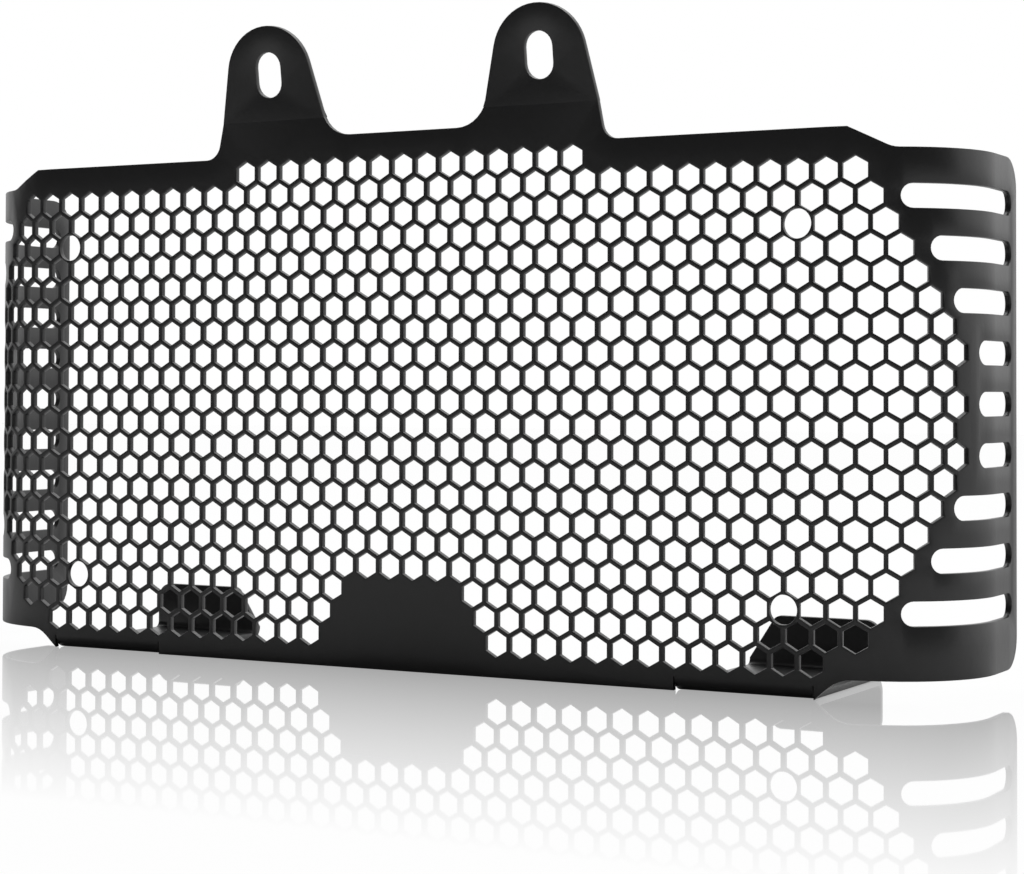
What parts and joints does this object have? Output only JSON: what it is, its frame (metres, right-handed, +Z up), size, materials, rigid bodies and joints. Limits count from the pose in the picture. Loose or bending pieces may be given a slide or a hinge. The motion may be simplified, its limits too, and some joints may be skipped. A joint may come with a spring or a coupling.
{
  "type": "motorcycle radiator guard",
  "caption": "Black perforated sheet-metal guard with rolled-back slotted wings, bolt tabs on top and hooked straps below.",
  "frame": {"origin": "centre of the bounding box's bottom face, level with the undersides of the straps", "axes": "+X to the right as seen by who looks at the guard's front, +Y back towards the radiator, +Z up"},
  "size_m": [0.27, 0.0478, 0.1541],
  "materials": {
    "black_coat": "satin black powder coat"
  },
  "bodies": {
    "root": {"radiator_guard": "black_coat"}
  },
  "joints": []
}
